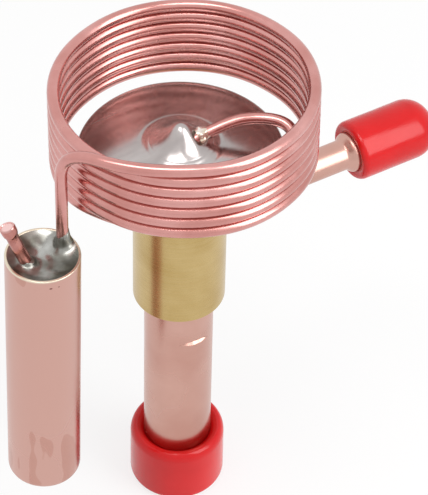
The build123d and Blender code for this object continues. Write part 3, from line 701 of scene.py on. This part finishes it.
def cap_shape(radius, bore, lip_start, end_radius, shoulder, crest, hug):
    """Dipped cap: round closed end, a soft shoulder up to the crest of the lip, and a slope down to
    where the lip hugs the tube. Shoulder is a height, crest and hug are (radius, height)."""
    crest_r, crest_z = crest
    hug_r, hug_z = hug
    bead = [
        (crest_r + (radius - crest_r) * math.cos(turn), shoulder + (crest_z - shoulder) * math.sin(turn))
        for turn in spread(0, math.pi / 2, 16)
    ]
    bead += [
        (crest_r + (hug_r - crest_r) * share, crest_z + (hug_z - crest_z) * share ** 1.8)
        for share in spread(0, 1, 10)[1:]
    ]
    inside = [(bore, lip_start), (bore, CAP_FLOOR), (0, CAP_FLOOR)]
    shape = revolved([(0, 0), (radius, 0)] + bead + inside, closed=False)
    rounded(shape, (radius, 0, end_radius), segments=12)
    return shape


def caps(material):
    outlet = cap_shape(
        radius=11.15, bore=8.92, lip_start=11.0, end_radius=1.8,
        shoulder=13.4, crest=(9.8, 15.9), hug=(7.98, 14.6),
    )
    finished("outlet_push_cap", outlet, "outlet_cap", "red_vinyl", material, "outlet_cap")
    inlet = cap_shape(
        radius=7.0, bore=4.8, lip_start=19.4, end_radius=5.9,
        shoulder=19.9, crest=(5.9, 21.4), hug=(4.76, 21.1),
    )
    lay_along_inlet(inlet)
    finished("inlet_push_cap", inlet, "inlet_cap", "red_vinyl", material, "inlet_cap")


# ---- sensing bulb --------------------------------------------------------------------------
BULB_BOTTOM_ROUND = 1.6
BULB_RIM_ROUND = 0.16
BULB_WAVE, BULB_WAVE_SCALE = 0.0014, 95
BULB_EVEN_AT_BOTTOM, BULB_EVEN_AT_RIM = 3, 1.5
SOLDER_FLOOR_Z = -4.6
SOLDER_EDGE_Z = -0.12
SOLDER_DISH = 1.75
SOLDER_UP_LEAD, SOLDER_UP_STUB = 3.6, 1.1
SOLDER_RIPPLE, SOLDER_RIPPLE_SCALE = 0.3, 0.42
STUB_R = 1.4
STUB_DEPTH = 2.9
STUB_CUT_Z = 13.6
STUB_NIP_Z, STUB_NIP_LENGTH = 10.4, 1.8
STUB_NIP_WIDER, STUB_NIP_FLATTER = 0.1, 0.06
STUB_ROUND_TO_Z = 10.2
STUB_BURR = (
    (1.47, 10.5), (1.62, 10.9), (1.66, 11.6), (1.64, 12.9),
    (1.52, 13.15), (1.3, 13.12), (1.22, 12.95), (0, 12.9),
)


def bulb_shell(material):
    """Drawn copper cup with a thin rim, a rounded bottom and a very slightly wavy side."""
    inner_r = BULB_R - BULB_WALL
    low = -BULB_LENGTH
    sides = [(BULB_R, z) for z in spread(low, 0, 24)]
    inside = [(inner_r, 0), (inner_r, low + BULB_WALL), (0, low + BULB_WALL)]
    shape = revolved([(0, low)] + sides + inside, closed=False)
    rims = [(radius, 0, BULB_RIM_ROUND) for radius in (BULB_R, inner_r)]
    rounded(shape, (BULB_R, low, BULB_BOTTOM_ROUND), *rims)
    for vert in shape.verts:
        on_side = mm(low + BULB_EVEN_AT_BOTTOM) < vert.co.z < mm(-BULB_EVEN_AT_RIM)
        if on_side and vert.co.xy.length > mm(BULB_R - 0.05):
            wave = 1 - BULB_WAVE * noise.noise(vert.co * BULB_WAVE_SCALE)
            vert.co.x *= wave
            vert.co.y *= wave
    shape.transform(bulb_place())
    finished("bulb_shell", shape, "valve", "bulb_copper", material, "sensing_bulb")


def climb(distance, radius, reach):
    """1 at a tube of that radius, and less away from it, as solder drawn up it lies."""
    return math.exp(-max(distance - radius, 0) / reach)


def solder_height(x, y):
    """Top of the solder in the bulb's own frame, millimetres."""
    rim = min(math.hypot(x, y) / (BULB_R - BULB_WALL), 1)
    lead = math.hypot(x - LEAD_IN_BULB[0], y - LEAD_IN_BULB[1])
    stub = math.hypot(x - FILL_IN_BULB[0] + 0.2, y - FILL_IN_BULB[1])
    height = SOLDER_EDGE_Z - SOLDER_DISH * (1 - rim ** 2.6)
    height += SOLDER_UP_LEAD * climb(lead, 1.33, 0.3) + 0.9 * bell(lead - 1.0, 1.7)
    height += SOLDER_UP_STUB * climb(stub, 1.38, 0.4) + 0.5 * bell(stub, 2.6)
    place = Vector((x * SOLDER_RIPPLE_SCALE, y * SOLDER_RIPPLE_SCALE, 3.1))
    ripple = SOLDER_RIPPLE * noise.noise(place)
    return height + ripple * (1 - rim ** 6)


def solder_plug(material):
    """Alloy that fills the bulb's end, dished, and drawn up the lead and the charging stub."""
    edge = BULB_R - BULB_WALL
    top = [(radius, 0) for radius in reversed(spread(0, edge, 44))]
    shape = revolved([(0, SOLDER_FLOOR_Z), (edge, SOLDER_FLOOR_Z)] + top, closed=False, steps=144)
    for vert in shape.verts:
        if vert.co.z > mm(-1):
            vert.co.z = mm(solder_height(vert.co.x * 1000, vert.co.y * 1000))
    shape.transform(bulb_place())
    finished("solder_plug", shape, "valve", "solder", material, "bulb_end_solder")


def charging_stub(material):
    """Filling tube, nipped oval and sheared off, with a thin burr round the cut."""
    profile = [(0, 0)] + [(STUB_R, z) for z in spread(0, STUB_ROUND_TO_Z, 6)] + list(STUB_BURR)
    shape = revolved(profile, closed=False, steps=64)
    for vert in shape.verts:
        nip = eased((vert.co.z * 1000 - STUB_NIP_Z) / STUB_NIP_LENGTH)
        vert.co.x *= 1 + STUB_NIP_WIDER * nip
        vert.co.y *= 1 - STUB_NIP_FLATTER * nip
    shape.transform(stub_place())
    finished("charging_stub", shape, "valve", "capillary_copper", material, "bulb_fill_tube")


# ---- dressing the object -------------------------------------------------------------------
def paint(material, *names):
    """Puts a finish on CAD nodes that keep their shape."""
    for name in names:
        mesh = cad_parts[name].data
        mesh.materials.clear()
        mesh.materials.append(material)


bulb_copper = bulb_finish()
tube_copper = drawn_copper()
head_steel = polished_head()
alloy = braze_alloy()
capillary(coil_copper())
crown(head_steel)
braze_collar(alloy)
outlet_pipe(tube_copper)
inlet_pipe(tube_copper)
caps(red_vinyl())
bulb_shell(bulb_copper)
charging_stub(stub_finish())
solder_plug(solder_grey())
paint(turned_brass(), "valve_body")
paint(head_steel, "head_lower_case")
paint(alloy, "inlet_braze", "outlet_braze")
paint(
    plain_metal("inner_brass", srgb(190, 160, 96), srgb(208, 182, 122), 0.3),
    "ball_carrier", "adjusting_nut", "seal_retainer", "thrust_pad", "inlet_strainer",
)
inner_steel = plain_metal("inner_steel", srgb(178, 180, 182), srgb(205, 206, 208), 0.26)
valve_spring(inner_steel)
paint(inner_steel, "orifice_seat", "valve_ball", "push_rod", "diaphragm")
paint(rubber(), "rod_seal")


# ---- studio --------------------------------------------------------------------------------
BACKGROUND_RAYS = ("Is Camera Ray", "Is Glossy Ray", "Is Transmission Ray")
EVEN_LIGHT = 0.55
NEAR_AZ = CAMERA_AZ - 90
LAMP_AIM_Z = 90
# The floor shows this share of white to the background rays, and the rest keeps the shadow.
FLOOR_WHITE_SHARE = 0.72
FLOOR_WHITE = 1.05
FLOOR_PAPER = (0.86, 0.86, 0.86, 1)


def camera_ways():
    """Directions from the object: towards the camera's right, up and towards the camera."""
    turn, lift = math.radians(CAMERA_AZ), math.radians(CAMERA_ELEVATION)
    back = Vector((math.sin(turn) * math.cos(lift), -math.cos(turn) * math.cos(lift), math.sin(lift)))
    right = Vector((math.cos(turn), math.sin(turn), 0))
    up = back.cross(right)
    return right, up, back


def make_camera():
    right, up, back = camera_ways()
    roll = math.radians(CAMERA_ROLL)
    leaned_right = right * math.cos(roll) + up * math.sin(roll)
    leaned_up = up * math.cos(roll) - right * math.sin(roll)
    data = bpy.data.cameras.new("camera")
    data.lens = CAMERA_LENS
    data.sensor_width = CAMERA_SENSOR
    data.sensor_fit = "AUTO"
    data.clip_start, data.clip_end = 0.05, 20
    camera = bpy.data.objects.new("camera", data)
    bpy.context.scene.collection.objects.link(camera)
    turn = Matrix((leaned_right, leaned_up, back)).transposed().to_4x4()
    place = Vector([mm(value) for value in CAMERA_TARGET]) + back * mm(CAMERA_DISTANCE)
    camera.matrix_world = Matrix.Translation(place) @ turn
    bpy.context.scene.camera = camera


def ray_share(nodes, links, *kinds):
    """1 for the named kinds of ray, 0 for the others."""
    path = nodes.new("ShaderNodeLightPath")
    total = path.outputs[kinds[0]]
    for kind in kinds[1:]:
        most = nodes.new("ShaderNodeMath")
        most.operation = "MAXIMUM"
        links.new(total, most.inputs[0])
        links.new(path.outputs[kind], most.inputs[1])
        total = most.outputs["Value"]
    return total


def make_floor():
    """Pale paper floor, which looks nearly white and keeps the object's shadow."""
    shape = bmesh.new()
    bmesh.ops.create_grid(shape, x_segments=8, y_segments=8, size=3.0)
    mesh = bpy.data.meshes.new("floor")
    shape.to_mesh(mesh)
    shape.free()
    floor = bpy.data.objects.new("floor", mesh)
    bpy.context.scene.collection.objects.link(floor)
    material = bpy.data.materials.new("floor_paper")
    material.use_nodes = True
    nodes, links = material.node_tree.nodes, material.node_tree.links
    paper = nodes["Principled BSDF"]
    paper.inputs["Base Color"].default_value = FLOOR_PAPER
    paper.inputs["Roughness"].default_value = 0.9
    paper.inputs["Specular IOR Level"].default_value = 0.0
    white = nodes.new("ShaderNodeEmission")
    white.inputs["Strength"].default_value = FLOOR_WHITE
    share = nodes.new("ShaderNodeMath")
    share.operation = "MULTIPLY"
    share.inputs[1].default_value = FLOOR_WHITE_SHARE
    links.new(ray_share(nodes, links, *BACKGROUND_RAYS), share.inputs[0])
    mixed = nodes.new("ShaderNodeMixShader")
    links.new(share.outputs["Value"], mixed.inputs["Fac"])
    links.new(paper.outputs["BSDF"], mixed.inputs[1])
    links.new(white.outputs["Emission"], mixed.inputs[2])
    links.new(mixed.outputs["Shader"], nodes["Material Output"].inputs["Surface"])
    mesh.materials.append(material)


def make_world():
    """White background, which the metal shows too, and an even light on the object."""
    world = bpy.data.worlds.new("studio")
    bpy.context.scene.world = world
    world.use_nodes = True
    nodes, links = world.node_tree.nodes, world.node_tree.links
    even = nodes["Background"]
    even.inputs["Color"].default_value = (1, 1, 1, 1)
    even.inputs["Strength"].default_value = EVEN_LIGHT
    white = nodes.new("ShaderNodeBackground")
    white.inputs["Color"].default_value = (1, 1, 1, 1)
    mixed = nodes.new("ShaderNodeMixShader")
    links.new(ray_share(nodes, links, *BACKGROUND_RAYS), mixed.inputs["Fac"])
    links.new(even.outputs["Background"], mixed.inputs[1])
    links.new(white.outputs["Background"], mixed.inputs[2])
    links.new(mixed.outputs["Shader"], nodes["World Output"].inputs["Surface"])


def softbox(name, azimuth, elevation, distance, width, height, power):
    """Area lamp aimed at the valve, placed by its direction from there."""
    data = bpy.data.lights.new(name, "AREA")
    data.shape = "RECTANGLE"
    data.size, data.size_y = mm(width), mm(height)
    data.energy = power
    lamp = bpy.data.objects.new(name, data)
    bpy.context.scene.collection.objects.link(lamp)
    turn, lift = math.radians(azimuth), math.radians(elevation)
    way = Vector((math.cos(turn) * math.cos(lift), math.sin(turn) * math.cos(lift), math.sin(lift)))
    aim = Vector((0, 0, mm(LAMP_AIM_Z)))
    lamp.location = aim + way * mm(distance)
    lamp.rotation_mode = "QUATERNION"
    lamp.rotation_quaternion = (-way).to_track_quat("-Z", "Y")


make_camera()
make_floor()
make_world()
softbox("key_box", azimuth=NEAR_AZ + 62, elevation=36, distance=700, width=400, height=740, power=3.2)
softbox("top_box", azimuth=NEAR_AZ - 30, elevation=76, distance=800, width=420, height=260, power=1.7)
bpy.context.scene.view_settings.view_transform = "Standard"
